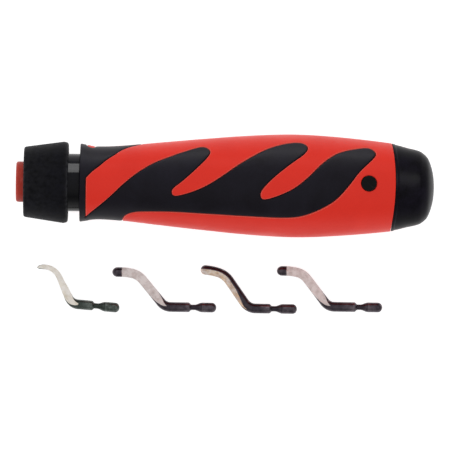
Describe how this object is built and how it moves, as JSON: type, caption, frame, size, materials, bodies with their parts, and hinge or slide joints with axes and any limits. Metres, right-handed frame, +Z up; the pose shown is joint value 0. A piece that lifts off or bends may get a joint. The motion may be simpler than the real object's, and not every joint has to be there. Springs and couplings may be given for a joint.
{
  "type": "deburring tool",
  "caption": "Hand deburring tool: swivel-blade holder with quick-release collar, two-colour moulded handle with blade store and pull-off cap, and loose blades.",
  "frame": {"origin": "centre of the blade bore at the nose face", "axes": "+X along the handle from the nose to the cap, +Z up through the cap's button, blades on the -Y side; tool and blades lie on z = -0.01675"},
  "size_m": [0.136, 0.058, 0.0336],
  "materials": {
    "nose_red": "satin brick red",
    "steel": "bright zinc",
    "collar_black": "fine matte texture",
    "brass": "turned",
    "spring_steel": "drawn wire",
    "dark_steel": "black oxide",
    "neck_black": "gloss",
    "shell_red": "satin red-orange",
    "grip_black": "soft satin",
    "cap_black": "satin",
    "seal_rubber": "matte",
    "button_black": "satin",
    "blade_dark": "black oxide with ground flats",
    "blade_hook": "dark oxide with ground flats"
  },
  "bodies": {
    "handle": {"handle_shell": "shell_red", "grip_overmould": "grip_black", "nose_bush": "nose_red", "chuck_body": "neck_black", "chuck_pin": "steel", "clamp_washer": "steel", "clamp_nut": "steel", "retaining_ring": "dark_steel", "spring_washer": "steel", "collar_spring": "spring_steel", "button_spring": "spring_steel"},
    "collar": {"release_collar": "collar_black", "cam_ring": "brass"},
    "pin_top": {"lock_pin_top": "steel"},
    "pin_bottom": {"lock_pin_bottom": "steel"},
    "cap": {"end_cap": "cap_black", "cap_seal": "seal_rubber"},
    "button": {"latch_button": "button_black", "button_clip": "steel"},
    "loose_blade_1": {"blade_1": "blade_hook"},
    "loose_blade_2": {"blade_2": "blade_dark"},
    "loose_blade_3": {"blade_3": "blade_dark"},
    "loose_blade_4": {"blade_4": "blade_dark"}
  },
  "joints": [
    {"name": "collar_slide", "type": "slide", "parent": "handle", "child": "collar", "axis": [1, 0, 0], "range_m": [0, 0.0032], "stiffness_N_per_m": 1500, "springref_m": -0.003, "deforming": ["collar_spring"]},
    {"name": "pin_top_slide", "type": "slide", "parent": "handle", "child": "pin_top", "axis": [0, 0, 1], "range_m": [0, 0.0006]},
    {"name": "pin_bottom_slide", "type": "slide", "parent": "handle", "child": "pin_bottom", "axis": [0, 0, -1], "range_m": [0, 0.0006]},
    {"name": "cap_slide", "type": "slide", "parent": "handle", "child": "cap", "axis": [1, 0, 0], "range_m": [0, 0.035]},
    {"name": "button_press", "type": "slide", "parent": "handle", "child": "button", "axis": [0, 0, -1], "range_m": [0, 0.001], "stiffness_N_per_m": 800, "springref_m": -0.001, "deforming": ["button_spring"]},
    {"name": "blade_1_lift", "type": "slide", "parent": "handle", "child": "loose_blade_1", "axis": [0, 0, 1], "range_m": [0, 0.03]},
    {"name": "blade_2_lift", "type": "slide", "parent": "handle", "child": "loose_blade_2", "axis": [0, 0, 1], "range_m": [0, 0.03]},
    {"name": "blade_3_lift", "type": "slide", "parent": "handle", "child": "loose_blade_3", "axis": [0, 0, 1], "range_m": [0, 0.03]},
    {"name": "blade_4_lift", "type": "slide", "parent": "handle", "child": "loose_blade_4", "axis": [0, 0, 1], "range_m": [0, 0.03]}
  ],
  "couplings": [
    {"joint": "pin_top_slide", "follows": "collar_slide", "ratio": 0.1875},
    {"joint": "pin_bottom_slide", "follows": "collar_slide", "ratio": 0.1875}
  ]
}
